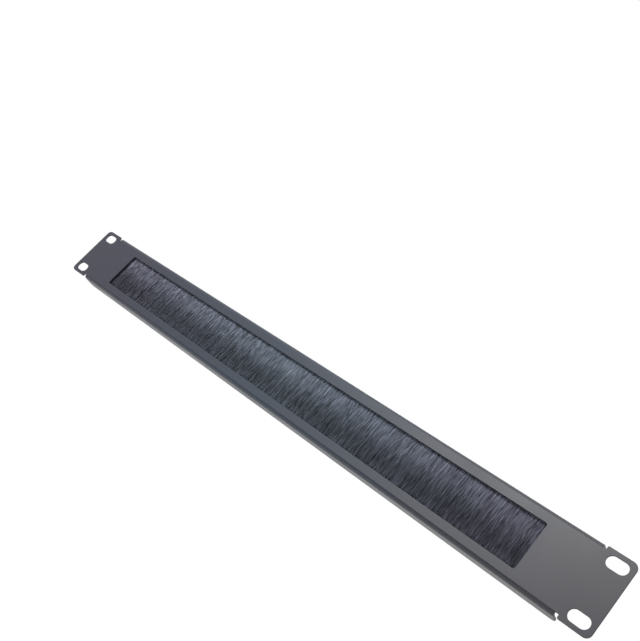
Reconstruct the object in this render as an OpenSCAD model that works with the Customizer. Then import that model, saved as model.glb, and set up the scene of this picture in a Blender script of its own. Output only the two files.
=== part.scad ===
// 1U brush panel for a 19-inch rack: a folded steel face with a brush curtain behind its window.
// X runs along the panel, Z is up, and the panel's front looks along -Y.
// The origin is the centre of the four rack slots, on the back of the face, where the ears meet the rails.

/* [Panel sheet] */
// Overall width across both ears
panel_w = 482.6; // [476:0.1:490]
// Overall height, one rack unit less its clearance
panel_h = 43.66; // [38:0.01:60]
// Thickness of the folded sheet
sheet_t = 1.2; // [0.8:0.05:1.6]
// Inside radius of the two long folds
fold_r = 1; // [0.5:0.05:1.4]
// Depth of the flanges, from the front face to their rear edge
flange_depth = 12; // [11:0.5:25]
// Width of each ear outside its relief slit
ear_w = 17.3; // [15:0.1:18.5]
// Width of the relief slit between an ear and the flange's end
relief_w = 2; // [1:0.1:3]
// Radius of the ears' outer corners
ear_corner_r = 3.5; // [0.5:0.1:5]
// Radius of the ears' corners beside the relief slits
ear_inner_r = 0.8; // [0.2:0.1:2]
// Radius of the flanges' rear corners
flange_corner_r = 4; // [1:0.5:8]

/* [Window] */
// Plain face above the window, and below it
band_h = 7.43; // [7:0.01:12]
// Plain face between the window's end and the panel's end
window_margin = 47.1; // [45:0.1:70]
// Radius of the window's corners
window_corner_r = 0.8; // [0.2:0.1:3]

/* [Rack slots] */
// From a slot's centre to the panel's end
slot_inset = 8.75; // [8:0.05:10]
// Height between the two slots of an ear
slot_pitch_z = 31.75; // [25:0.05:33]
// Length of a slot from end to end
slot_len = 11.8; // [8:0.1:13]
// Height of a slot
slot_h = 6.8; // [5:0.1:7.5]

/* [Brush strip] */
// Depth of the brush channel, front to back
channel_depth = 4.8; // [4.4:0.1:6]
// Wall of the brush channel
channel_wall = 0.5; // [0.3:0.05:0.7]
// Outside radius of the channel's four corners
channel_r = 1.3; // [0.9:0.1:1.8]
// How far the brush passes each end of the window
brush_overlap = 5; // [2:0.5:12]
// Diameter of the wire that the filaments are folded over
core_wire_d = 1.4; // [1:0.1:1.8]
// Height of the channel's mouth above the window's upper edge
mouth_cover = 0.4; // [0.1:0.1:0.8]
// How far the filaments' tips pass the window's lower edge
tip_overlap = 3.2; // [1.5:0.1:4]
// Number of tufts along the curtain
tuft_count = 132; // [60:1:160]
// How far a tuft stands out from the groove beside it
tuft_ridge = 0.4; // [0.1:0.05:0.5]
// Difference in length between the longest and shortest tufts
tip_ragged = 1.6; // [0:0.1:2]
// How much thicker the curtain grows towards its tips, on each side
curtain_spread = 0.35; // [0:0.05:0.5]

/* [Brush retainer] */
// Thickness of the retainer's sheet
retainer_t = 1; // [0.8:0.1:1.5]
// Inside radius of the retainer's folds
retainer_r = 0.8; // [0.5:0.1:1.2]
// How far the retainer's bar reaches below the channel's mouth
retainer_drop = 1; // [0.5:0.1:3]
// Height of the two feet
foot_h = 26; // [20:0.5:30]
// From the foot's outer end to the flange's end
foot_inset = 4; // [2:0.5:6]
// Radius of the feet's corners
foot_corner_r = 2.5; // [0.5:0.1:4]
// From the lip's rear edge to the flange's rear edge
lip_setback = 1.3; // [0.5:0.1:3]

/* [Fasteners] */
// Outside diameter of the studs' thread
thread_d = 3; // [2.5:0.1:3.5]
// Height of the studs above the back of the face
stud_len = 6; // [5.6:0.1:8]
// Diameter of the weld flange at a stud's foot
stud_flange_d = 4.5; // [4:0.1:5]
// Thickness of the weld flange
stud_flange_t = 0.7; // [0.4:0.05:0.75]
// Outside diameter of the plain washers
washer_d = 7; // [6.5:0.1:8]
// Thickness of the plain washers
washer_t = 0.5; // [0.3:0.05:0.8]
// Outside diameter of the spring washers
spring_washer_d = 6.2; // [5.5:0.1:7]
// Thickness of the spring washers
spring_washer_t = 0.8; // [0.5:0.05:1]
// Width of the nuts across their flats
nut_flats = 5.5; // [5:0.1:6.5]
// Height of the nuts
nut_h = 2.4; // [1.8:0.1:2.6]
// Distance between the two studs of a foot
stud_pitch = 14; // [12:0.5:16]

/* [Clearances] */
// Between the channel and the panel's fold above it
channel_gap = 0.1; // [0.05:0.05:0.2]
// Around the filaments' roots and the wire inside them
packing_gap = 0.05; // [0.02:0.01:0.1]
// Between the channel's ends and the retainer's end folds
end_gap = 0.2; // [0.1:0.05:0.5]
// Between the retainer's lip and the upper flange
lip_gap = 0.3; // [0.2:0.05:0.5]
// Around the thread inside the nuts and washers
thread_gap = 0.05; // [0.02:0.01:0.1]
// Around the weld flange inside the holes of the feet
foot_hole_gap = 0.15; // [0.1:0.05:0.3]

/* [Hidden] */
$fn = 48;
eps = 0.01;

window_w = panel_w - 2 * window_margin;
window_h = panel_h - 2 * band_h;
flange_len = panel_w - 2 * (ear_w + relief_w);
flange_rear = flange_depth - sheet_t;
flat_h = panel_h - 2 * (sheet_t + fold_r);
slot_x = panel_w / 2 - slot_inset;
slot_z = slot_pitch_z / 2;

mouth_z = window_h / 2 + mouth_cover;
channel_h = flat_h / 2 - channel_gap - mouth_z;
channel_mid_y = channel_depth / 2;
channel_mid_z = mouth_z + channel_h / 2;
brush_len = window_w + 2 * brush_overlap;
mouth_w = channel_depth - 2 * channel_wall - core_wire_d;

root_inset = channel_wall + packing_gap;
root_w = channel_depth - 2 * root_inset;
root_h = channel_h - 2 * root_inset;
neck_w = mouth_w - 2 * packing_gap;
neck_top = mouth_z + root_inset + root_h / 8;
curtain_low = -window_h / 2 - tip_overlap;
curtain_rows = 6;
curtain_cols = 2 * tuft_count;
curtain_setback = 0.45;
tip_thin = 0.55;

bar_front = channel_depth;
bar_rear = bar_front + retainer_t;
bar_low = mouth_z - retainer_drop;
wall_x = brush_len / 2 + end_gap + retainer_r;
foot_start = wall_x + retainer_t + retainer_r;
foot_end = flange_len / 2 - foot_inset;
foot_top = flat_h / 2 - retainer_r;
foot_low = foot_top - foot_h;
lip_top = panel_h / 2 - sheet_t - lip_gap;
lip_rear = flange_rear - lip_setback;
lip_len = brush_len - 2 * retainer_t;

stud_x = (foot_start + foot_end) / 2;
stud_mid_z = foot_top - foot_h / 2;
STUDS = [for (sx = [-1, 1], sz = [1, -1]) [sx * stud_x, stud_mid_z + sz * stud_pitch / 2]];
thread_r = thread_d / 2;
bore_r = thread_r + thread_gap;
washer_y = retainer_t;
spring_washer_y = washer_y + washer_t;
nut_y = spring_washer_y + spring_washer_t;
nut_chamfer = 0.35;
stud_chamfer = 0.4;
split_w = 0.6;
split_angle = 20;

// A rectangle about the origin with four round corners
module round_rect(size, r) {
    square([size.x - 2 * r, size.y], center = true);
    square([size.x, size.y - 2 * r], center = true);
    for (sx = [-1, 1], sy = [-1, 1])
        translate([sx * (size.x / 2 - r), sy * (size.y / 2 - r)]) circle(r);
}

// What a round corner takes off a square one whose point is at the origin, with the material towards -X and -Y
module corner_waste(r) {
    translate([-r, -r]) difference() {
        square(r + eps);
        circle(r);
    }
}

// A quarter of a folded sheet's section: the bend's centre is the origin, and the fold fills +X +Y
module quarter_fold(r, t) {
    intersection() {
        difference() {
            circle(r + t);
            circle(r);
        }
        square(r + t);
    }
}

// A section drawn in Y and Z, run along X and centred
module along_x(length) {
    rotate([90, 0, 90]) linear_extrude(length, center = true) children();
}

// An outline drawn in X and Z, as a sheet between y = from and y = to
module sheet_between(from, to) {
    translate([0, to, 0]) rotate([90, 0, 0]) linear_extrude(to - from) children();
}

// A turned piece, drawn as radius and height, standing on y = 0 along +Y
module turned() {
    rotate([-90, 0, 0]) rotate_extrude() children();
}

module at_stud(i, y = 0) {
    translate([STUDS[i].x, y, STUDS[i].y]) children();
}

// ---- front panel ----

module panel_section() {
    difference() {
        translate([flange_rear, 0]) round_rect([2 * flange_depth, panel_h], fold_r + sheet_t);
        translate([flange_rear, 0]) round_rect([2 * flange_rear, panel_h - 2 * sheet_t], fold_r);
        translate([flange_rear, -panel_h]) square([2 * flange_depth, 2 * panel_h]);
    }
}

module face_outline() {
    ear_root = flange_len / 2 + relief_w;
    difference() {
        round_rect([panel_w, panel_h], ear_corner_r);
        for (sz = [-1, 1]) translate([0, sz * (flat_h + panel_h) / 2]) square([2 * ear_root, panel_h], center = true);
        for (mx = [0, 1], mz = [0, 1]) mirror([mx, 0]) mirror([0, mz])
            translate([ear_root, panel_h / 2]) mirror([1, 0]) corner_waste(ear_inner_r);
    }
}

module slot_outline() {
    square([slot_len - slot_h, slot_h], center = true);
    for (sx = [-1, 1]) translate([sx * (slot_len - slot_h) / 2, 0]) circle(d = slot_h);
}

module front_panel() {
    color("#5b5c63") difference() {
        union() {
            sheet_between(-sheet_t, 0) face_outline();
            along_x(flange_len) panel_section();
        }
        sheet_between(-sheet_t - 1, 1) round_rect([window_w, window_h], window_corner_r);
        for (sx = [-1, 1], sz = [-1, 1])
            translate([sx * slot_x, 0, sz * slot_z]) sheet_between(-sheet_t - 1, 1) slot_outline();
        for (mx = [0, 1]) mirror([mx, 0, 0]) translate([flange_len / 2, flange_rear, 0])
            linear_extrude(2 * panel_h, center = true) corner_waste(flange_corner_r);
    }
}

// ---- brush strip ----

// A fixed value between 0 and 1 for each pair of numbers
function scatter(a, b) = let (v = 43.7585 * sin(127.1 * a + 311.7 * b) + 17.3 * sin(73.9 * a - 21.3 * b)) v - floor(v);

function tuft(i) = floor(i / 2);
function is_crest(i) = i % 2;
// Row 0 lies inside the root, row 1 at the channel's mouth and the last row at the tips
function row_share(k) = max(0, k - 1) / (curtain_rows - 1);
function curtain_x(i, k) = brush_len * (i / curtain_cols - 0.5)
    + (i == 0 || i == curtain_cols ? 0 : row_share(k) * (scatter(tuft(i), 1) - 0.5) * brush_len / curtain_cols * 0.6);
function tip_z(i) = curtain_low + tip_ragged * (is_crest(i) == 1 ? scatter(tuft(i), 2) - 0.5 : 0.5);
function curtain_z(i, k) = k == 0 ? neck_top : mouth_z - row_share(k) * (mouth_z - tip_z(i));
function ridge(i, k) = is_crest(i) * tuft_ridge * min(1, 3 * row_share(k)) * (0.55 + 0.45 * scatter(tuft(i), 3));
function half_thick(i, k) = (neck_w / 2 + curtain_spread * row_share(k) + ridge(i, k)) * (k == curtain_rows ? tip_thin : 1);
function curtain_mid(k) = channel_mid_y + curtain_setback * pow(row_share(k), 2);
function curtain_point(i, k, side) = [curtain_x(i, k), curtain_mid(k) + side * half_thick(i, k), curtain_z(i, k)];

// The filaments below their roots: a closed skin with one crest and one groove for each tuft, front and back
module curtain() {
    per_col = curtain_rows + 1;
    back = (curtain_cols + 1) * per_col;
    points = [for (side = [-1, 1], i = [0:curtain_cols], k = [0:curtain_rows]) curtain_point(i, k, side)];
    function f(i, k) = i * per_col + k;
    function b(i, k) = back + f(i, k);
    function quad(p, q, r, s) = [[p, q, r], [p, r, s]];
    fronts = [for (i = [0:curtain_cols - 1], k = [0:curtain_rows - 1])
        each quad(f(i, k), f(i + 1, k), f(i + 1, k + 1), f(i, k + 1))];
    backs = [for (i = [0:curtain_cols - 1], k = [0:curtain_rows - 1])
        each quad(b(i, k), b(i, k + 1), b(i + 1, k + 1), b(i + 1, k))];
    tops = [for (i = [0:curtain_cols - 1]) each quad(f(i, 0), b(i, 0), b(i + 1, 0), f(i + 1, 0))];
    tips = [for (i = [0:curtain_cols - 1])
        each quad(f(i, curtain_rows), f(i + 1, curtain_rows), b(i + 1, curtain_rows), b(i, curtain_rows))];
    ends = [for (k = [0:curtain_rows - 1]) each concat(
        quad(b(0, k), f(0, k), f(0, k + 1), b(0, k + 1)),
        quad(f(curtain_cols, k), b(curtain_cols, k), b(curtain_cols, k + 1), f(curtain_cols, k + 1)))];
    polyhedron(points, concat(fronts, backs, tops, tips, ends));
}

module bristles() {
    color("#3c3f49") union() {
        along_x(brush_len) difference() {
            translate([channel_mid_y, channel_mid_z]) round_rect([root_w, root_h], channel_r - root_inset);
            translate([channel_mid_y, channel_mid_z]) circle(core_wire_d / 2 + packing_gap);
        }
        curtain();
    }
}

module brush_channel() {
    color("#b9bcc0") along_x(brush_len) difference() {
        translate([channel_mid_y, channel_mid_z]) round_rect([channel_depth, channel_h], channel_r);
        translate([channel_mid_y, channel_mid_z])
            round_rect([channel_depth - 2 * channel_wall, channel_h - 2 * channel_wall], channel_r - channel_wall);
        translate([channel_mid_y, mouth_z]) square([mouth_w, 2 * (channel_wall + eps)], center = true);
    }
}

module core_wire() {
    color("#9a9da2") translate([0, channel_mid_y, channel_mid_z]) rotate([0, 90, 0])
        cylinder(h = brush_len, d = core_wire_d, center = true);
}

// ---- retainer ----

// The retainer from above: a bar behind the channel, stepped forward at each end to a foot on the face
module stepped_profile() {
    translate([-wall_x + retainer_r, bar_front]) square([2 * (wall_x - retainer_r), retainer_t]);
    for (mx = [0, 1]) mirror([mx, 0]) {
        translate([wall_x - retainer_r, bar_front - retainer_r]) quarter_fold(retainer_r, retainer_t);
        translate([wall_x, retainer_t + retainer_r])
            square([retainer_t, bar_front - retainer_t - 2 * retainer_r]);
        translate([foot_start, retainer_t + retainer_r]) rotate(180) quarter_fold(retainer_r, retainer_t);
        translate([foot_start, 0]) square([foot_end - foot_start, retainer_t]);
    }
}

// The retainer from the front: the long bar, and a taller foot at each end
module retainer_outline() {
    translate([-foot_start, bar_low]) square([2 * foot_start, foot_top - bar_low]);
    for (sx = [-1, 1]) translate([sx * (foot_start + foot_end) / 2, stud_mid_z])
        round_rect([foot_end - foot_start, foot_h], foot_corner_r);
    for (sx = [-1, 1]) translate([sx * (foot_start + foot_corner_r / 2), (bar_low + foot_top) / 2])
        square([foot_corner_r, foot_top - bar_low], center = true);
}

module lip_section() {
    translate([bar_front, bar_low]) square([retainer_t, lip_top - retainer_t - retainer_r - bar_low]);
    translate([bar_rear + retainer_r, lip_top - retainer_t - retainer_r])
        rotate(90) quarter_fold(retainer_r, retainer_t);
    translate([bar_rear + retainer_r, lip_top - retainer_t]) square([lip_rear - bar_rear - retainer_r, retainer_t]);
}

module brush_retainer() {
    color("#c3c7cc") difference() {
        union() {
            intersection() {
                linear_extrude(2 * panel_h, center = true) stepped_profile();
                sheet_between(-1, bar_rear + 1) retainer_outline();
            }
            along_x(lip_len) lip_section();
        }
        for (i = [0:len(STUDS) - 1]) at_stud(i, -1) rotate([-90, 0, 0])
            cylinder(h = retainer_t + 2, r = stud_flange_d / 2 + foot_hole_gap);
    }
}

// ---- fasteners ----

module weld_stud(i) {
    color("#b08d57") at_stud(i) turned() polygon([
        [0, 0], [stud_flange_d / 2, 0], [stud_flange_d / 2, stud_flange_t], [thread_r, stud_flange_t],
        [thread_r, stud_len - stud_chamfer], [thread_r - stud_chamfer, stud_len], [0, stud_len]]);
}

module plain_washer(i) {
    color("#c8ccd0") at_stud(i, washer_y) turned()
        translate([bore_r, 0]) square([washer_d / 2 - bore_r, washer_t]);
}

module spring_washer(i) {
    color("#a5a9ae") at_stud(i, spring_washer_y) difference() {
        turned() translate([bore_r, 0]) square([spring_washer_d / 2 - bore_r, spring_washer_t]);
        translate([0, spring_washer_t / 2, spring_washer_d / 4]) rotate([0, 0, split_angle])
            cube([split_w, 4 * spring_washer_t, spring_washer_d / 2], center = true);
    }
}

module hex_nut(i) {
    corner_r = nut_flats / sqrt(3);
    face_r = corner_r - nut_chamfer / tan(30);
    color("#c8ccd0") at_stud(i, nut_y) difference() {
        intersection() {
            rotate([-90, 0, 0]) cylinder(h = nut_h, r = corner_r, $fn = 6);
            turned() polygon([
                [0, 0], [face_r, 0], [corner_r, nut_chamfer], [corner_r, nut_h - nut_chamfer], [face_r, nut_h], [0, nut_h]]);
        }
        translate([0, -1, 0]) rotate([-90, 0, 0]) cylinder(h = nut_h + 2, r = bore_r);
    }
}

front_panel();
bristles();
brush_channel();
core_wire();
brush_retainer();
for (i = [0:len(STUDS) - 1]) {
    weld_stud(i);
    plain_washer(i);
    spring_washer(i);
    hex_nut(i);
}
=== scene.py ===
# %% [markdown]
# # A one-unit brush panel for a 19-inch rack
#
# The real product is one strip of steel sheet, folded back along both long edges, powder coated
# a soft black, with a long window that a curtain of nylon filaments closes.  Cables push through
# the filaments, which spring shut around them.
#
# Its parts come in first as plain solids of the right size, in a fixed frame that nothing here may
# move.  What Blender adds is what a drawing leaves out: coated edges, thousands of filaments,
# threads, plating and light.

# %% Load the solid parts
import math

import bmesh
import bpy
import numpy as np
from mathutils import Matrix, Vector


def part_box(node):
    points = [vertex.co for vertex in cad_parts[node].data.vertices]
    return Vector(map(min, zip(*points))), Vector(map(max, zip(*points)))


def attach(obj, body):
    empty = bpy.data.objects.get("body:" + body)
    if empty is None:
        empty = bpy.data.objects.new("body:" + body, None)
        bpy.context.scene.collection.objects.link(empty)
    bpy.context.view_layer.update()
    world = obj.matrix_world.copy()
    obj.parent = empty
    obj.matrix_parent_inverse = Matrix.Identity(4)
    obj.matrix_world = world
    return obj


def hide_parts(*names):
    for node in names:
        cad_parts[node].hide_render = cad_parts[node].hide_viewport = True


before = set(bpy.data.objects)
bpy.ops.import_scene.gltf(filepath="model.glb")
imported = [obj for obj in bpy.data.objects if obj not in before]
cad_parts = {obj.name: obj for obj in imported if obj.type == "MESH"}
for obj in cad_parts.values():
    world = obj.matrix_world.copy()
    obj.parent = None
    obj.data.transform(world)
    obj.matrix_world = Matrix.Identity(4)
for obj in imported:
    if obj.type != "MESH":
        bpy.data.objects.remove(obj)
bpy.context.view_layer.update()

# %% [markdown]
# ## Millimetres
#
# Sheet metal is drawn in millimetres and Blender's unit is the metre, so every size below is
# written in millimetres and turned into metres at the moment a mesh is made.

# %% Millimetres, and a new object in the scene
MM = 0.001


def add_object(name, data):
    """Puts a mesh, curve, lamp or camera into the scene under a plain name."""
    made = bpy.data.objects.new(name, data)
    bpy.context.scene.collection.objects.link(made)
    return made


def node_box(name):
    """A solid part's lowest and highest corner, in millimetres."""
    low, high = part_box(name)
    return Vector(low) / MM, Vector(high) / MM


face_low, face_high = node_box("front_panel")
print("front panel from", face_low.to_tuple(2), "to", face_high.to_tuple(2))

# %% [markdown]
# ## Camera
#
# A camera needs a place, two directions and a lens.  This one stands near the right end and a
# little below the panel, so the far end runs away to the upper left and the underside of the
# lower fold just shows.  Its right, up and back directions, written as the columns of a matrix,
# leave no doubt about its roll, which Euler angles would hide.

# %% Camera
CAMERA_PLACE = (0.343755, -0.415529, -0.094725)
CAMERA_RIGHT = (0.67309991, 0.34829291, 0.65240215)
CAMERA_UP = (-0.39382997, -0.57786269, 0.71482352)
CAMERA_BACK = (0.62596682, -0.73808317, -0.25179114)

lens = bpy.data.cameras.new("camera")
lens.sensor_width = 36.0
lens.lens = 47.573
lens.clip_start, lens.clip_end = 0.01, 50.0
camera = add_object("camera", lens)
turn = Matrix((CAMERA_RIGHT, CAMERA_UP, CAMERA_BACK)).transposed().to_4x4()
camera.matrix_world = Matrix.Translation(CAMERA_PLACE) @ turn
bpy.context.scene.camera = camera
print("camera", round(camera.location.length / MM), "mm from the panel's centre")

# %% [markdown]
# ## A plain pale studio
#
# A dark satin part is drawn by what it reflects, so the studio is mostly white: a white world, a
# white floor well below the panel, and three soft lamps.  The front lamp stands left of the panel
# and high.  Its mirror image lies above the right half of the panel, so the satin coating grows
# lighter towards the right.  The top lamp lights the upper flange and the rear lamp the back.

# %% White world
WORLD_LIGHT = 0.62             # strength of the world as a light


def maths(tree, operation, *values):
    """A Math node whose inputs are numbers or other nodes' outputs."""
    node = tree.nodes.new("ShaderNodeMath")
    node.operation = operation
    for i, value in enumerate(values):
        if isinstance(value, (int, float)):
            node.inputs[i].default_value = value
        else:
            tree.links.new(value, node.inputs[i])
    return node.outputs[0]


def map_range(tree, value, from_low, from_high, to_low, to_high):
    """A Map Range node that turns a value from one range into another."""
    node = tree.nodes.new("ShaderNodeMapRange")
    limits = (from_low, from_high, to_low, to_high)
    for label, limit in zip(("From Min", "From Max", "To Min", "To Max"), limits):
        node.inputs[label].default_value = limit
    tree.links.new(value, node.inputs["Value"])
    return node.outputs["Result"]


def white_for_viewer(tree, strength_for_light):
    """A strength of 1 for rays that see the backdrop, directly or in a shine, and less for light."""
    path = tree.nodes.new("ShaderNodeLightPath")
    seen = maths(tree, "MAXIMUM", path.outputs["Is Camera Ray"], path.outputs["Is Glossy Ray"])
    clear = maths(tree, "MAXIMUM", seen, path.outputs["Is Transmission Ray"])
    return map_range(tree, clear, 0.0, 1.0, strength_for_light, 1.0)


world = bpy.data.worlds.new("white_room")
world.use_nodes = True
sky = world.node_tree.nodes["Background"]
sky.inputs["Color"].default_value = (1.0, 1.0, 1.0, 1.0)
world.node_tree.links.new(white_for_viewer(world.node_tree, WORLD_LIGHT), sky.inputs["Strength"])
bpy.context.scene.world = world
bpy.context.scene.view_settings.view_transform = "Standard"
print("world", world.name, "lights with strength", WORLD_LIGHT)


# %% Soft lamps
def soft_lamp(name, place, target, size, watts):
    """A rectangular lamp at place, facing target, with its long side level."""
    data = bpy.data.lights.new(name, "AREA")
    data.shape = "RECTANGLE"
    data.size, data.size_y = size
    data.energy = watts
    lamp = add_object(name, data)
    lamp.location = place
    lamp.rotation_mode = "QUATERNION"
    lamp.rotation_quaternion = (Vector(target) - Vector(place)).to_track_quat("-Z", "Y")
    print(name, watts, "W,", round((Vector(target) - Vector(place)).length, 2), "m from the panel")


soft_lamp("front_lamp", (-0.35, -1.10, 0.56), (0.10, 0.0, 0.0), (0.40, 0.30), 11.9)
soft_lamp("top_lamp", (-0.2, -0.2, 1.2), (0.0, 0.0, 0.0), (1.2, 0.8), 3.0)
soft_lamp("rear_lamp", (-0.5, 1.2, 0.5), (0.0, 0.0, 0.0), (0.8, 0.5), 7.0)

# %% Floor
FLOOR_Z = -0.30
FLOOR_HALF_SPAN = 6.0
FLOOR_GREY = 0.50              # how much lamp light the floor gives back
FLOOR_GLOW = 0.70              # what a ray that sees the floor gets on top of that

floor_mesh = bpy.data.meshes.new("floor")
floor_corners = [(sx * FLOOR_HALF_SPAN, sy * FLOOR_HALF_SPAN, FLOOR_Z)
                 for sx, sy in ((-1, -1), (1, -1), (1, 1), (-1, 1))]
floor_mesh.from_pydata(floor_corners, [], [(0, 1, 2, 3)])
floor = add_object("floor", floor_mesh)
floor_white = bpy.data.materials.new("floor_white")
floor_white.use_nodes = True
floor_tree = floor_white.node_tree
floor_tree.nodes.remove(floor_tree.nodes["Principled BSDF"])
matt = floor_tree.nodes.new("ShaderNodeBsdfDiffuse")
matt.inputs["Color"].default_value = (FLOOR_GREY, FLOOR_GREY, FLOOR_GREY, 1.0)
glow = floor_tree.nodes.new("ShaderNodeEmission")
glow.inputs["Color"].default_value = (1.0, 1.0, 1.0, 1.0)
lift = maths(floor_tree, "MULTIPLY", white_for_viewer(floor_tree, 0.0), FLOOR_GLOW)
floor_tree.links.new(lift, glow.inputs["Strength"])
both = floor_tree.nodes.new("ShaderNodeAddShader")
floor_tree.links.new(matt.outputs[0], both.inputs[0])
floor_tree.links.new(glow.outputs[0], both.inputs[1])
floor_tree.links.new(both.outputs[0], floor_tree.nodes["Material Output"].inputs["Surface"])
floor_mesh.materials.append(floor_white)
print("floor at", FLOOR_Z, "m,", 2 * FLOOR_HALF_SPAN, "m wide")

# %% [markdown]
# ## Dark cards for the shine
#
# In an all-white room the round of the lower fold mirrors the white floor, and its shape shows
# less.  In a studio a dark card is held just out of view, so that a round edge has something dark
# to reflect.  One card lies low in front of the panel and one stands beyond its right end, where
# the cut edges face.  Only reflections show them, they throw no shadow, and what they do is small:
# they darken the fold a little.

# %% Dark cards
card_black = bpy.data.materials.new("card_black")
card_black.use_nodes = True
card_shader = card_black.node_tree.nodes["Principled BSDF"]
card_shader.inputs["Base Color"].default_value = (0.02, 0.02, 0.02, 1.0)
card_shader.inputs["Roughness"].default_value = 0.9
CARD_Z = -0.28                 # height of their lower edges, just above the floor


def dark_card(name, corners):
    """A black rectangle that only reflections show."""
    mesh = bpy.data.meshes.new(name)
    mesh.from_pydata(corners, [], [(0, 1, 2, 3)])
    mesh.materials.append(card_black)
    card = add_object(name, mesh)
    card.visible_camera = card.visible_diffuse = card.visible_shadow = False
    return card


low_card = dark_card("low_card", [(-1.3, -1.6, CARD_Z), (0.6, -1.6, CARD_Z),
                                  (0.6, -0.33, CARD_Z), (-1.3, -0.33, CARD_Z)])
side_card = dark_card("side_card", [(0.9, -1.4, CARD_Z), (0.9, 0.3, CARD_Z),
                                    (0.9, 0.3, 0.25), (0.9, -1.4, 0.25)])
print("dark cards:", low_card.name, "and", side_card.name)

# %% [markdown]
# ## Two patterns that many finishes share
#
# Coatings and platings differ in colour, but a fine grain and slow clouds, where a finish is a
# little lighter or duller, make them all look real.  One group gives both.  A second group blends
# three colours along the strip, which here stands for the tint that uneven light gives a long dark
# part.  It is fixed to the part, so it stays under any light.  Groups hand out values and colours
# only, and the shader that turns them into a surface stays in each material.

# %% Node group: grain
def new_group(name, inputs, outputs):
    """An empty shader group with float, colour or vector sockets."""
    group = bpy.data.node_groups.new(name, "ShaderNodeTree")
    for label, kind, value in inputs:
        socket = group.interface.new_socket(label, in_out="INPUT", socket_type=kind)
        if value is not None:
            socket.default_value = value
    for label, kind in outputs:
        group.interface.new_socket(label, in_out="OUTPUT", socket_type=kind)
    return group, group.nodes.new("NodeGroupInput"), group.nodes.new("NodeGroupOutput")


grain_group, grain_in, grain_out = new_group(
    "grain",
    [("Size mm", "NodeSocketFloat", 0.4), ("Stretch", "NodeSocketVector", (1.0, 1.0, 1.0))],
    [("Height", "NodeSocketFloat"), ("Clouds", "NodeSocketFloat")])
coords = grain_group.nodes.new("ShaderNodeTexCoord")
stretched = grain_group.nodes.new("ShaderNodeVectorMath")
stretched.operation = "MULTIPLY"
fine = grain_group.nodes.new("ShaderNodeTexNoise")
fine.inputs["Detail"].default_value = 3.0
fine.inputs["Roughness"].default_value = 0.6
slow = grain_group.nodes.new("ShaderNodeTexNoise")
slow.inputs["Scale"].default_value = 22.0
slow.inputs["Detail"].default_value = 4.0
per_metre = maths(grain_group, "DIVIDE", 1 / MM, grain_in.outputs["Size mm"])
links = grain_group.links
links.new(coords.outputs["Object"], stretched.inputs[0])
links.new(grain_in.outputs["Stretch"], stretched.inputs[1])
links.new(stretched.outputs[0], fine.inputs["Vector"])
links.new(per_metre, fine.inputs["Scale"])
links.new(stretched.outputs[0], slow.inputs["Vector"])
links.new(fine.outputs["Fac"], grain_out.inputs["Height"])
links.new(slow.outputs["Fac"], grain_out.inputs["Clouds"])
print("group", grain_group.name, "with", len(grain_group.nodes), "nodes")

# %% Node group: a colour that drifts along the part
drift_group, drift_in, drift_out = new_group(
    "drift",
    [("Left", "NodeSocketColor", None), ("Middle", "NodeSocketColor", None),
     ("Right", "NodeSocketColor", None), ("Half length", "NodeSocketFloat", 0.24),
     ("Shade", "NodeSocketFloat", 1.0)],
    [("Color", "NodeSocketColor")])
coords = drift_group.nodes.new("ShaderNodeTexCoord")
split = drift_group.nodes.new("ShaderNodeSeparateXYZ")
links = drift_group.links
links.new(coords.outputs["Object"], split.inputs[0])
blend = drift_in.outputs["Middle"]
for end, sign in (("Left", -1.0), ("Right", 1.0)):
    reach = drift_group.nodes.new("ShaderNodeMapRange")
    reach.interpolation_type = "SMOOTHSTEP"
    links.new(maths(drift_group, "MULTIPLY", split.outputs["X"], sign), reach.inputs["Value"])
    links.new(drift_in.outputs["Half length"], reach.inputs["From Max"])
    mix = drift_group.nodes.new("ShaderNodeMix")
    mix.data_type = "RGBA"
    links.new(reach.outputs["Result"], mix.inputs["Factor"])
    links.new(blend, mix.inputs["A"])
    links.new(drift_in.outputs[end], mix.inputs["B"])
    blend = mix.outputs["Result"]
shaded = drift_group.nodes.new("ShaderNodeVectorMath")
shaded.operation = "SCALE"
links.new(blend, shaded.inputs[0])
links.new(drift_in.outputs["Shade"], shaded.inputs["Scale"])
links.new(shaded.outputs[0], drift_out.inputs["Color"])
print("group", drift_group.name, "with", len(drift_group.nodes), "nodes")

# %% [markdown]
# ## Finishes
#
# The coat and the platings are Principled shaders fed by the two groups.  What a constant can say,
# such as a metal's full metalness, is typed straight into the shader.  What changes over the
# surface, such as colour, dullness and relief, comes from the groups.

# %% A finish from the two groups
def group_in(tree, group, **values):
    """A group node in a material, with some of its inputs set."""
    node = tree.nodes.new("ShaderNodeGroup")
    node.node_tree = group
    for label, value in values.items():
        node.inputs[label.replace("_", " ")].default_value = value
    return node


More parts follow.
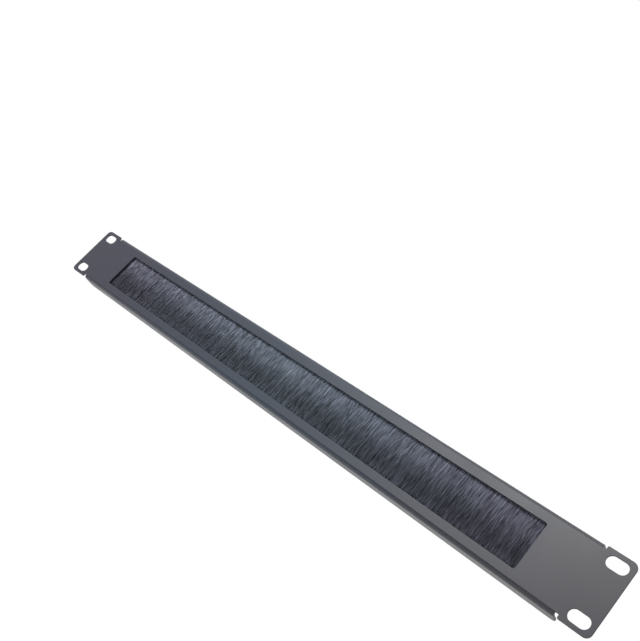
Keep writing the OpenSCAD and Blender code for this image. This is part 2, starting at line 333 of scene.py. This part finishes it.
def finish(name, left, middle, right_end, grain_mm, relief_mm, dullness, metal=0.0,
           stretch=(1.0, 1.0, 1.0), clouds=0.12, shine=0.5):
    """A Principled material: three colours along X, fine relief, and dullness between two values."""
    made = bpy.data.materials.new(name)
    made.use_nodes = True
    tree = made.node_tree
    shader = tree.nodes["Principled BSDF"]
    shader.inputs["Metallic"].default_value = metal
    shader.inputs["Specular IOR Level"].default_value = shine
    grain = group_in(tree, grain_group, Size_mm=grain_mm, Stretch=stretch)
    drift = group_in(tree, drift_group, Left=(*left, 1.0), Middle=(*middle, 1.0), Right=(*right_end, 1.0))
    shade = map_range(tree, grain.outputs["Clouds"], 0.0, 1.0, 1 - clouds / 2, 1 + clouds / 2)
    dull = map_range(tree, grain.outputs["Clouds"], 0.3, 0.7, *dullness)
    tree.links.new(shade, drift.inputs["Shade"])
    tree.links.new(drift.outputs["Color"], shader.inputs["Base Color"])
    tree.links.new(dull, shader.inputs["Roughness"])
    bump = tree.nodes.new("ShaderNodeBump")
    bump.inputs["Strength"].default_value = 1.0
    bump.inputs["Distance"].default_value = relief_mm * MM
    tree.links.new(grain.outputs["Height"], bump.inputs["Height"])
    tree.links.new(bump.outputs["Normal"], shader.inputs["Normal"])
    return made


def dress(piece, material):
    """Gives a piece its one material."""
    piece.data.materials.clear()
    piece.data.materials.append(material)


# The coat is one black.  Its three colours along the strip are a painted tint that stands for uneven light,
# and its clouds are random tone.
powder_coat = finish("powder_coat", (0.0265, 0.0270, 0.0435), (0.0275, 0.0380, 0.0570),
                     (0.031, 0.031, 0.039), grain_mm=0.45, relief_mm=0.010, dullness=(0.37, 0.45),
                     shine=0.42)
print("finish", powder_coat.name)

# %% [markdown]
# ## The folded face
#
# A press brake folds a flat blank, and Blender can do the same.  The blank is drawn flat as a
# filled curve with its window, slots and relief slits, because a curve gives every edge the small
# round that powder coat leaves.  It is then cut across where the folds will be and each point
# is carried round the fold.  A bevelled box would give the outside, but not slits that
# run into a fold or an even sheet behind.

# %% Sizes of the blank
SHEET = 1.2                    # thickness of the sheet
FOLD_R = 1.5                   # inside radius of a fold
FOLD_STEPS = 10                # faces round a fold
FLANGE_CUT = 4.0               # one more cut this far past a fold, clear of the rounded corners
EDGE_R = 0.18                  # round that the coating leaves on an edge
HALF_W, HALF_H = round(face_high.x, 2), round(face_high.z, 2)
REAR_Y = round(face_high.y, 2)
FLANGE_X = 222.0               # where the flanges end
FLANGE_CORNER_R = 4.0
EAR_X = 224.0                  # where the ears begin, beyond the relief slits
EAR_INNER_R, EAR_CORNER_R = 0.8, 3.5
SLIT_Z = HALF_H - SHEET - 1.0  # inner end of a relief slit
FLAT_Z = HALF_H - SHEET - FOLD_R          # the face is flat up to here
MID_R = FOLD_R + SHEET / 2                # radius of the sheet's middle in a fold
ARC = math.pi / 2 * MID_R                 # and its length round the fold
BLANK_Z = FLAT_Z + ARC + REAR_Y - FOLD_R  # half the height of the blank
WINDOW_HALF_W, WINDOW_HALF_H, WINDOW_R = 194.2, 14.4, 1.2
SLOT_X, SLOT_Z, SLOT_L, SLOT_H = 232.55, 15.875, 11.8, 6.8
print("blank", 2 * HALF_W, "x", round(2 * BLANK_Z, 2), "mm flat, fold line at", round(FLAT_Z, 2))


# %% Outline of the blank
def arc(centre, radius, start, end, steps):
    """Points on an arc, angles in degrees."""
    angles = [math.radians(start + (end - start) * i / steps) for i in range(steps + 1)]
    return [(centre[0] + radius * math.cos(a), centre[1] + radius * math.sin(a)) for a in angles]


def blank_outline():
    """The blank's outer edge, clockwise from the right end of the upper flange's rear edge."""
    quarter = arc((FLANGE_X - FLANGE_CORNER_R, BLANK_Z - FLANGE_CORNER_R), FLANGE_CORNER_R, 90, 0, 10)
    quarter += [(FLANGE_X, SLIT_Z), (EAR_X, SLIT_Z)]
    quarter += arc((EAR_X + EAR_INNER_R, HALF_H - EAR_INNER_R), EAR_INNER_R, 180, 90, 5)
    quarter += arc((HALF_W - EAR_CORNER_R, HALF_H - EAR_CORNER_R), EAR_CORNER_R, 90, 0, 10)
    lower_right = [(x, -z) for x, z in reversed(quarter)]
    right_side = quarter + lower_right
    left_side = [(-x, z) for x, z in reversed(right_side)]
    return right_side + left_side


def rounded_window():
    """The window's edge, anticlockwise from its upper right corner."""
    w, h, r = WINDOW_HALF_W, WINDOW_HALF_H, WINDOW_R
    corners = ((w - r, h - r, 0), (-w + r, h - r, 90), (-w + r, -h + r, 180), (w - r, -h + r, 270))
    return [p for x, z, a in corners for p in arc((x, z), r, a, a + 90, 6)]


def rack_slot(x, z):
    """An obround slot about the point (x, z)."""
    r, reach = SLOT_H / 2, (SLOT_L - SLOT_H) / 2
    return arc((x + reach, z), r, -90, 90, 20) + arc((x - reach, z), r, 90, 270, 20)


rings = [blank_outline(), rounded_window()]
rings += [rack_slot(sx * SLOT_X, sz * SLOT_Z) for sx in (-1, 1) for sz in (-1, 1)]
print("blank: 1 outline,", len(rings) - 1, "cut-outs,", sum(map(len, rings)), "points")


# %% Blank as a filled curve with rounded edges
def sheet_blank(name, rings, thickness, edge_r):
    """A flat sheet, centred on z = 0, from closed rings of (x, y) points in millimetres."""
    curve = bpy.data.curves.new(name, "CURVE")
    curve.dimensions = "2D"
    curve.fill_mode = "BOTH"
    curve.bevel_depth = edge_r * MM
    curve.offset = -edge_r * MM    # the bevel grows the outline by as much
    curve.extrude = (thickness / 2 - edge_r) * MM
    curve.bevel_resolution = 2
    for ring in rings:
        spline = curve.splines.new("POLY")
        spline.points.add(len(ring) - 1)
        for point, (x, y) in zip(spline.points, ring):
            point.co = (x * MM, y * MM, 0.0, 1.0)
        spline.use_cyclic_u = True
    drawn = add_object(name, curve)
    shown = drawn.evaluated_get(bpy.context.evaluated_depsgraph_get())
    mesh = bpy.data.meshes.new_from_object(shown)
    bpy.data.objects.remove(drawn)
    bpy.data.curves.remove(curve)
    return mesh


panel_mesh = sheet_blank("coated_face", rings, SHEET, EDGE_R)
print("flat blank:", len(panel_mesh.vertices), "points,", len(panel_mesh.polygons), "faces")

# %% Fold the blank
panel = bmesh.new()
panel.from_mesh(panel_mesh)
bmesh.ops.remove_doubles(panel, verts=panel.verts, dist=1e-6)
fold_rows = [FLAT_Z + ARC * i / FOLD_STEPS for i in range(FOLD_STEPS + 1)]
fold_rows += [FLAT_Z + ARC + FLANGE_CUT]
for row in [side * r for side in (-1, 1) for r in fold_rows]:
    everything = panel.verts[:] + panel.edges[:] + panel.faces[:]
    bmesh.ops.bisect_plane(panel, geom=everything, dist=1e-7, plane_co=(0, row * MM, 0),
                           plane_no=(0, 1, 0))


def folded(x, height, depth):
    """Where a point of the blank lands: depth runs from 0 at the back to -SHEET at the front."""
    side, rise = math.copysign(1.0, height), abs(height) - FLAT_Z
    if rise <= 0 or abs(x) > (FLANGE_X + EAR_X) / 2:
        return x, depth, height
    r = FOLD_R - depth
    angle = min(rise / MID_R, math.pi / 2)
    straight = max(0.0, rise - ARC)
    return x, FOLD_R - r * math.cos(angle) + straight, side * (FLAT_Z + r * math.sin(angle))


def is_flat(face):
    """Faces level in y are flat, and so are those level in z that are over a square millimetre."""
    level_y, level_z = [max(v.co[i] for v in face.verts) - min(v.co[i] for v in face.verts) < 1e-7
                        for i in (1, 2)]
    return level_y or (level_z and face.calc_area() > MM * MM)


for v in panel.verts:
    x, height, depth = (c / MM for c in v.co)
    v.co = Vector(folded(x, height, depth - SHEET / 2)) * MM
bmesh.ops.recalc_face_normals(panel, faces=panel.faces)
for f in panel.faces:
    f.smooth = not is_flat(f)
panel.to_mesh(panel_mesh)
panel.free()
coated_face = add_object("coated_face", panel_mesh)
print("folded face:", len(panel_mesh.polygons), "faces, depth",
      round(coated_face.dimensions.y / MM, 2), "height", round(coated_face.dimensions.z / MM, 2), "mm")


# %% Normals for a sheet with rounded edges
def sheet_normals(mesh, blend_angle=50):
    """Flat faces stay exactly flat, and the small rounds beside them start from the flat direction."""
    limit = math.cos(math.radians(blend_angle))
    around = [[] for _ in mesh.vertices]
    for f in mesh.polygons:
        for v in f.vertices:
            around[v].append(f)
    normals = []
    for f in mesh.polygons:
        for v in f.vertices:
            near = [g for g in around[v] if g.normal.dot(f.normal) > limit]
            flats = [g for g in near if not g.use_smooth]
            if not f.use_smooth:
                normals.append(f.normal.copy())
            elif flats:
                normals.append(max(flats, key=lambda g: g.normal.dot(f.normal)).normal.copy())
            else:
                normals.append(sum((g.normal * g.area for g in near), Vector()).normalized())
    mesh.normals_split_custom_set(normals)
    return len(normals)


print("normals set at", sheet_normals(coated_face.data), "corners")
dress(coated_face, powder_coat)
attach(coated_face, "root")
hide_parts("front_panel")
print("coated face rides on the root body")

# %% [markdown]
# ## The filaments
#
# A curtain like this has many thousands of nylon filaments, folded over a wire and clamped in a
# channel.  15,600 are drawn here, fewer and thicker than the real ones.  A hair system would draw
# them, but only meshes travel with a part, so each filament is a slim three-sided tube.  They stand
# in three layers, one behind another, fan out a little below the clamp, and lean and end unevenly
# in small tufts.

# %% Where each filament runs
ROOT_Z = 15.6          # where the drawn filaments begin, inside the channel
TIP_Z = -17.6          # mean height of the tips
BRUSH_X = 198.9        # half the curtain's length
MID_Y = 2.4            # middle of the curtain's depth at its roots
TIP_BACK = 0.40        # how far that middle lies further back at the tips
NECK = 1.15            # half the curtain's depth at its roots
FAN = 0.30             # how much that half grows towards the tips
STRAY_ROOT, STRAY_LEAN, STRAY_BOW, STRAY_TIP = 0.03, 0.20, 0.07, 0.35    # of single filaments

# Size, pitch and seed of the patterns in which whole tufts stray.
FINE_LEAN, WIDE_LEAN = (0.08, 1.6, 3), (0.4, 9.0, 4)
BOW, UNEVEN_TIPS, FLUFF = (0.05, 3.1, 5), (0.35, 4.0, 6), (0.04, 1.1, 7)
chance = np.random.default_rng(19)


def tuft_pattern(x, size, pitch, seed):
    """A fixed random offset, up to size either way, that changes slowly along x."""
    table = np.random.default_rng(seed).uniform(-1, 1, int(2 * BRUSH_X / pitch) + 4)
    place = (x + BRUSH_X) / pitch
    i = np.clip(place.astype(int), 0, len(table) - 2)
    t = np.clip(place - i, 0, 1)
    t = t * t * (3 - 2 * t)
    return size * (table[i] * (1 - t) + table[i + 1] * t)


def filament_paths(count, depth_from, depth_to, steps=6):
    """Centre lines of count filaments, as an array [filament, step, xyz] in millimetres."""
    x0 = np.linspace(-BRUSH_X, BRUSH_X, count) + chance.uniform(-STRAY_ROOT, STRAY_ROOT, count)
    depth = chance.uniform(depth_from, depth_to, count)
    lean = tuft_pattern(x0, *FINE_LEAN) + tuft_pattern(x0, *WIDE_LEAN) + chance.normal(0, STRAY_LEAN, count)
    bow = tuft_pattern(x0, *BOW) + chance.normal(0, STRAY_BOW, count)
    tip = TIP_Z + tuft_pattern(x0, *UNEVEN_TIPS) + chance.uniform(-STRAY_TIP, STRAY_TIP, count)
    t = np.linspace(0, 1, steps + 1)[None, :]
    z = ROOT_Z + (tip[:, None] - ROOT_Z) * t
    x = x0[:, None] + lean[:, None] * t ** 1.5 + bow[:, None] * np.sin(math.pi * t)
    x = np.clip(x, -BRUSH_X, BRUSH_X)
    fluff = tuft_pattern(x0, *FLUFF)[:, None] * np.sin(math.pi * t)
    y = MID_Y + TIP_BACK * t ** 2 + depth[:, None] * (NECK + FAN * t) + fluff
    return np.stack([x, y, z], axis=2)


trial = filament_paths(10, -1.0, -0.5)
print("one filament runs from", trial[0, 0].round(2), "to", trial[0, -1].round(2))

# %% Faces of the tubes, and their texture map
SIDES = 3
MAP_LEFT, MAP_WIDTH = -200.0, 400.0  # the stretch of x that the texture map covers
MAP_LOW, MAP_TALL = -19.0, 36.0      # and the stretch of z
MAP_SIDE = 0.15                      # width of one side of a filament on that map


def tube_faces(count, rows):
    """Corners of the tubes' four-sided faces and of the triangles that close their tips."""
    first = (np.arange(count) * rows * SIDES)[:, None, None] + (np.arange(rows - 1) * SIDES)[None, :, None]
    side = np.arange(SIDES)[None, None, :]
    beside = (side + 1) % SIDES
    quads = np.stack([first + side, first + side + SIDES, first + beside + SIDES, first + beside], axis=3)
    last = np.arange(count) * rows * SIDES + (rows - 1) * SIDES
    return quads.reshape(-1, 4), last[:, None] + np.array([2, 1, 0])[None, :]


def tube_map(paths):
    """Places on the texture map, one for each corner of the faces: x across it and z up it."""
    axis, height = paths[:, :, 0], paths[:, :, 2]
    start = (np.arange(SIDES)[None, None, :] - SIDES / 2) * MAP_SIDE
    across = (axis[:, :, None] + start)[:, :-1, :, None] + np.array([0.0, 0.0, MAP_SIDE, MAP_SIDE])
    across[..., 1:3] += (axis[:, 1:] - axis[:, :-1])[:, :, None, None]
    upward = np.stack([height[:, :-1], height[:, 1:], height[:, 1:], height[:, :-1]], axis=2)
    upward = np.broadcast_to(upward[:, :, None, :], across.shape)
    tip_across = axis[:, -1:] + MAP_SIDE * np.array([1.0, 0.0, -1.0])
    tip_upward = height[:, -1:] + MAP_SIDE * np.array([0.0, 2.0, 0.0])
    u = (np.concatenate([across.ravel(), tip_across.ravel()]) - MAP_LEFT) / MAP_WIDTH
    v = (np.concatenate([upward.ravel(), tip_upward.ravel()]) - MAP_LOW) / MAP_TALL
    return np.stack([u, v], axis=1)


print("texture map of the curtain:", MAP_WIDTH, "by", MAP_TALL, "mm")

# %% Filaments as slim tubes
FILAMENT_R = 0.12
THINNEST, THICKEST = 0.80, 1.15      # of single filaments, times that radius


def filament_mesh(name, paths):
    """Slim tubes along the paths, shaded round, with a closed tip and a map along the strip."""
    count, rows, _ = paths.shape
    spin = chance.uniform(0, 2 * math.pi, count)
    angles = spin[:, None] + np.arange(SIDES) * 2 * math.pi / SIDES
    ring = np.stack([np.cos(angles), np.sin(angles), np.zeros_like(angles)], axis=2)
    radius = FILAMENT_R * chance.uniform(THINNEST, THICKEST, count)
    points = paths[:, :, None, :] + ring[:, None, :, :] * radius[:, None, None, None]
    verts = points.reshape(-1, 3) * MM
    quads, tips = tube_faces(count, rows)
    mesh = bpy.data.meshes.new(name)
    mesh.vertices.add(len(verts))
    mesh.vertices.foreach_set("co", verts.ravel())
    mesh.loops.add(quads.size + tips.size)
    mesh.loops.foreach_set("vertex_index", np.concatenate([quads.ravel(), tips.ravel()]))
    starts = np.concatenate([np.arange(len(quads)) * 4, quads.size + np.arange(len(tips)) * SIDES])
    mesh.polygons.add(len(starts))
    mesh.polygons.foreach_set("loop_start", starts)
    mesh.update(calc_edges=True)
    mesh.shade_smooth()
    layer = mesh.uv_layers.new(name="OFBake")
    layer.data.foreach_set("uv", tube_map(paths).ravel())
    return mesh


print("a filament has", SIDES, "sides and is about", 2 * FILAMENT_R, "mm thick")

# %% [markdown]
# ## Nylon with painted light and shade down its height
#
# Seen from the front the curtain is palest under the window's top edge and darkest two thirds of
# the way down, and the border between the two is ragged.  That is light and shade on the
# filaments.  The drawn filaments alone show little of it, so it is painted into the nylon's
# colour: one group paints how light the nylon looks at each height, and another draws streaks of
# any width along the strip, random tone for tufts and painted glints for single strands.  The slow
# change of tint from left to right is painted as well, by the group that the coat uses, and stands
# for uneven light.  All three are fixed to the curtain, so they stay under any light.

# %% Node group: streaks
streaks_group, streaks_in, streaks_out = new_group(
    "streaks",
    [("Width mm", "NodeSocketFloat", 1.5), ("Contrast", "NodeSocketFloat", 0.3)],
    [("Shade", "NodeSocketFloat")])


def stretched_noise(group, width_mm, stretch, offset):
    """Noise that changes over width_mm along the strip and more slowly down the filaments, and z."""
    coords = group.nodes.new("ShaderNodeTexCoord")
    split = group.nodes.new("ShaderNodeSeparateXYZ")
    group.links.new(coords.outputs["Object"], split.inputs[0])
    per_metre = maths(group, "DIVIDE", 1 / MM, width_mm)
    place = group.nodes.new("ShaderNodeCombineXYZ")
    group.links.new(maths(group, "MULTIPLY", split.outputs["X"], per_metre), place.inputs["X"])
    place.inputs["Y"].default_value = offset
    slow = maths(group, "DIVIDE", per_metre, stretch)
    group.links.new(maths(group, "MULTIPLY", split.outputs["Z"], slow), place.inputs["Z"])
    noise = group.nodes.new("ShaderNodeTexNoise")
    noise.inputs["Scale"].default_value = 1.0
    noise.inputs["Detail"].default_value = 1.0
    group.links.new(place.outputs[0], noise.inputs["Vector"])
    return noise.outputs["Fac"], split.outputs["Z"]


DARKEST_STREAK = 0.1
WIDENED = 4.0                  # the noise keeps near a half, so its swing is widened
streak, _ = stretched_noise(streaks_group, streaks_in.outputs["Width mm"], stretch=20.0, offset=3.7)
swing = maths(streaks_group, "MULTIPLY", maths(streaks_group, "SUBTRACT", streak, 0.5), WIDENED)
shade = maths(streaks_group, "MULTIPLY_ADD", swing, streaks_in.outputs["Contrast"], 1.0)
streaks_group.links.new(maths(streaks_group, "MAXIMUM", shade, DARKEST_STREAK), streaks_out.inputs["Shade"])
print("group", streaks_group.name, "with", len(streaks_group.nodes), "nodes")

# %% Node group: painted light and shade by height
# Painted light and shade down the curtain: at each height, how light the nylon's colour is painted.
RAMP_LOW, RAMP_HIGH = -18.0, 16.0    # heights in millimetres that the ramp spans
PAINTED_LIGHT_LEVELS = ((-18.0, 0.50), (-14.0, 0.46), (-12.0, 0.34), (-8.0, 0.265), (-4.0, 0.305),
            (1.0, 0.455), (5.0, 0.67), (11.5, 0.83), (14.0, 0.90))   # height, and how pale

height_light_group, height_light_in, height_light_out = new_group(
    "painted_light_by_height", [("Raggedness mm", "NodeSocketFloat", 3.0)], [("Shade", "NodeSocketFloat")])
ragged, height = stretched_noise(height_light_group, 2.6, stretch=6.0, offset=9.2)
ragged = maths(height_light_group, "SUBTRACT", ragged, 0.5)
ragged = maths(height_light_group, "MULTIPLY", ragged, 2.0)   # now from -1 to 1
ragged = maths(height_light_group, "MULTIPLY", ragged, height_light_in.outputs["Raggedness mm"])
height_mm = maths(height_light_group, "MULTIPLY", height, 1 / MM)
height_mm = maths(height_light_group, "ADD", height_mm, ragged)
ramp = height_light_group.nodes.new("ShaderNodeValToRGB")
while len(ramp.color_ramp.elements) < len(PAINTED_LIGHT_LEVELS):
    ramp.color_ramp.elements.new(0.5)
for stop, (z, pale) in zip(ramp.color_ramp.elements, PAINTED_LIGHT_LEVELS):
    stop.position = (z - RAMP_LOW) / (RAMP_HIGH - RAMP_LOW)
    stop.color = (pale, pale, pale, 1.0)
along = map_range(height_light_group, height_mm, RAMP_LOW, RAMP_HIGH, 0.0, 1.0)
height_light_group.links.new(along, ramp.inputs["Fac"])
height_light_group.links.new(ramp.outputs["Color"], height_light_out.inputs["Shade"])
print("group", height_light_group.name, "with", len(PAINTED_LIGHT_LEVELS), "levels from the tips up")

# %% Nylon from the groups
filament_nylon = bpy.data.materials.new("filament_nylon")
filament_nylon.use_nodes = True
nylon_tree = filament_nylon.node_tree
nylon = nylon_tree.nodes["Principled BSDF"]
nylon.inputs["Specular IOR Level"].default_value = 0.30
# Nylon's own shine has no colour.  The cool tint is a choice of looks.
nylon.inputs["Specular Tint"].default_value = (0.80, 0.86, 1.0, 1.0)

# Painted light and shade down the filaments, with a ragged border.
height_light = group_in(nylon_tree, height_light_group, Raggedness_mm=2.2)
tufts = group_in(nylon_tree, streaks_group, Width_mm=1.6, Contrast=0.06)
# Fine streaks along single strands: random tone, and painted glints on the strands.
strands = group_in(nylon_tree, streaks_group, Width_mm=0.26, Contrast=1.05)
# The tint along the strip is painted, and stands for uneven light.
tone = group_in(nylon_tree, drift_group, Left=(0.220, 0.216, 0.284, 1.0),
                Middle=(0.232, 0.274, 0.336, 1.0), Right=(0.197, 0.195, 0.255, 1.0), Half_length=0.22)
streaked = maths(nylon_tree, "MULTIPLY", tufts.outputs[0], strands.outputs[0])
shade = maths(nylon_tree, "MULTIPLY", streaked, height_light.outputs[0])
nylon_tree.links.new(shade, tone.inputs["Shade"])
nylon_tree.links.new(tone.outputs["Color"], nylon.inputs["Base Color"])
dull = map_range(nylon_tree, tufts.outputs[0], 0.5, 1.5, 0.52, 0.38)
nylon_tree.links.new(dull, nylon.inputs["Roughness"])
print("finish", filament_nylon.name, "with", len(nylon_tree.nodes), "nodes")

# %% Three layers of filaments
PER_LAYER = 5200
layers = (("filaments_front", -1.0, -0.45), ("filaments_middle", -0.45, 0.45),
          ("filaments_rear", 0.45, 1.0))
for name, near, far in layers:
    mesh = filament_mesh(name, filament_paths(PER_LAYER, near, far))
    layer = add_object(name, mesh)
    dress(layer, filament_nylon)
    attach(layer, "root")
    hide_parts("bristles")
    print(name, "-", PER_LAYER, "filaments,", len(mesh.polygons), "faces")

# %% [markdown]
# ## Plated steel behind the face
#
# What holds the brush can't be seen from the front, so the channel, its wire, the retainer and the
# fasteners follow common practice: steel, most of it zinc plated.  Apart from the studs, their
# solids have the form already, so they stay, and only gain a small round on each edge and a metal
# finish.  On the long parts its grain is drawn out along the strip, as rolling and drawing leave it.

# %% Zinc, copper and spring steel
def plating(name, colour, **settings):
    """A metal finish of one colour."""
    return finish(name, colour, colour, colour, metal=1.0, **settings)


zinc = finish("rolled_zinc", (0.46, 0.47, 0.49), (0.47, 0.48, 0.50), (0.46, 0.47, 0.48),
              grain_mm=0.5, relief_mm=0.006, dullness=(0.26, 0.44), metal=1.0,
              stretch=(0.10, 1.0, 1.0), clouds=0.5)
zinc_small = plating("bright_zinc", (0.55, 0.56, 0.59), grain_mm=0.35, relief_mm=0.005,
                     dullness=(0.20, 0.34), clouds=0.5)
copper = plating("copper_wash", (0.50, 0.31, 0.22), grain_mm=0.3, relief_mm=0.006,
                 dullness=(0.28, 0.42), clouds=0.6)
spring = plating("dark_spring", (0.24, 0.24, 0.25), grain_mm=0.3, relief_mm=0.005,
                 dullness=(0.30, 0.42), clouds=0.4)
wire = plating("drawn_wire", (0.52, 0.52, 0.54), grain_mm=0.3, relief_mm=0.003,
               dullness=(0.22, 0.32), stretch=(0.05, 1.0, 1.0), clouds=0.3)
print("finishes:", ", ".join(m.name for m in (zinc, zinc_small, copper, spring, wire)))


# %% Round the edges of the solid parts
def round_edges(piece, width_mm):
    """A small round on every sharp edge, by modifiers, so that the solid's mesh stays as it is."""
    weld = piece.modifiers.new("weld", "WELD")
    weld.merge_threshold = 1e-6
    bevel = piece.modifiers.new("edge_round", "BEVEL")
    bevel.width = width_mm * MM
    bevel.segments = 2
    bevel.limit_method = "ANGLE"
    bevel.angle_limit = math.radians(35)
    weigh = piece.modifiers.new("weigh", "WEIGHTED_NORMAL")
    weigh.weight = 60


plated = {"brush_channel": (zinc, "zinc_plate", 0.08), "brush_retainer": (zinc, "zinc_plate", 0.12),
          "core_wire": (wire, "bright_wire", 0.1)}
for i in range(1, 5):
    plated[f"plain_washer_{i}"] = (zinc_small, "zinc_hardware", 0.06)
    plated[f"spring_washer_{i}"] = (spring, "spring_steel", 0.06)
    plated[f"hex_nut_{i}"] = (zinc_small, "zinc_hardware", 0.06)
for name, (material, slot, width) in plated.items():
    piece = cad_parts[name]
    dress(piece, material)
    round_edges(piece, width)
print("plated parts:", len(plated))

# %% [markdown]
# ## Threaded studs
#
# Each stud is a weld stud: a thin flange that the welder fuses to the sheet and a thread, all
# lightly coppered.  The solid is a smooth rod of the right size.  A thread is one ridge that climbs
# as it turns, so its mesh is a net of rings that are each tilted by the same climb.  Building the
# ridge this way needs no cutting tool and keeps the crest crisp.

# %% Rings of a stud
THREAD_R = 1.5                 # outer radius
PITCH = 0.5                    # climb in one turn
AROUND = 24                    # points round a ring
RIDGE = ((0.0, 0.0), (0.08, 0.0), (0.25, 0.28), (0.33, 0.28))   # climb, and depth below the crest
WELD_R, WELD_T = 2.25, 0.7     # the flange at its foot
WELD_ROUND = 0.1
CHAMFER = 0.4                  # at its free end
HAIR = 0.001                   # a radius so small that the ring closes to a point
END_GAP = 0.02                 # between the last ring of the thread and the free end


def stud_profile(length):
    """Rings of a stud along +Y from y = 0, each a list of (y, radius) at the points round it."""
    foot = ((0.0, HAIR), (0.0, WELD_R - WELD_ROUND), (WELD_ROUND, WELD_R),
            (WELD_T - WELD_ROUND, WELD_R), (WELD_T, WELD_R - WELD_ROUND))
    rings = [[(y, r)] * AROUND for y, r in foot]
    shoulder, top = length - CHAMFER, length - END_GAP
    for turn in range(-1, int(length / PITCH) + 1):
        for climb, drop in RIDGE:
            base = turn * PITCH + climb
            ys = [min(max(base + PITCH * i / AROUND, WELD_T), top) for i in range(AROUND)]
            if max(ys) > WELD_T and min(ys) < top:
                rings.append([(y, THREAD_R - max(drop, y - shoulder)) for y in ys])
    rings += [[(length, THREAD_R - CHAMFER)] * AROUND, [(length, HAIR)] * AROUND]
    return rings


stud_end = node_box("weld_stud_1")[1].y
print("a stud", round(stud_end, 2), "mm long has", len(stud_profile(stud_end)), "rings")


# %% Threaded studs
def crisp(piece, angle):
    """Edges sharper than the angle, in degrees, stay sharp, and large faces set the rest."""
    piece.data.set_sharp_from_angle(angle=math.radians(angle))
    weigh = piece.modifiers.new("weigh", "WEIGHTED_NORMAL")
    weigh.keep_sharp = True
    weigh.weight = 60
    return piece


def threaded_stud(name, centre_x, centre_z, length):
    """A stud with a flange, a climbing ridge and a chamfered end, sizes in millimetres."""
    made = bmesh.new()
    rings = []
    for profile in stud_profile(length):
        ring = []
        for i, (y, r) in enumerate(profile):
            a = 2 * math.pi * i / AROUND
            place = Vector((centre_x + r * math.cos(a), y, centre_z + r * math.sin(a)))
            ring.append(made.verts.new(place * MM))
        rings.append(ring)
    for low, high in zip(rings, rings[1:]):
        for i in range(AROUND):
            j = (i + 1) % AROUND
            made.faces.new((low[i], high[i], high[j], low[j]))
    bmesh.ops.remove_doubles(made, verts=made.verts, dist=2e-6)
    bmesh.ops.recalc_face_normals(made, faces=made.faces)
    mesh = bpy.data.meshes.new(name)
    made.to_mesh(mesh)
    made.free()
    mesh.shade_smooth()
    return crisp(add_object(name, mesh), angle=40)


for i in range(1, 5):
    low, high = node_box(f"weld_stud_{i}")
    middle = (low + high) / 2
    stud = threaded_stud(f"threaded_stud_{i}", middle.x, middle.z, high.y)
    dress(stud, copper)
    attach(stud, "root")
    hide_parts(f"weld_stud_{i}")
    print(stud.name, "at", middle.to_tuple(2), "-", len(stud.data.polygons), "faces")
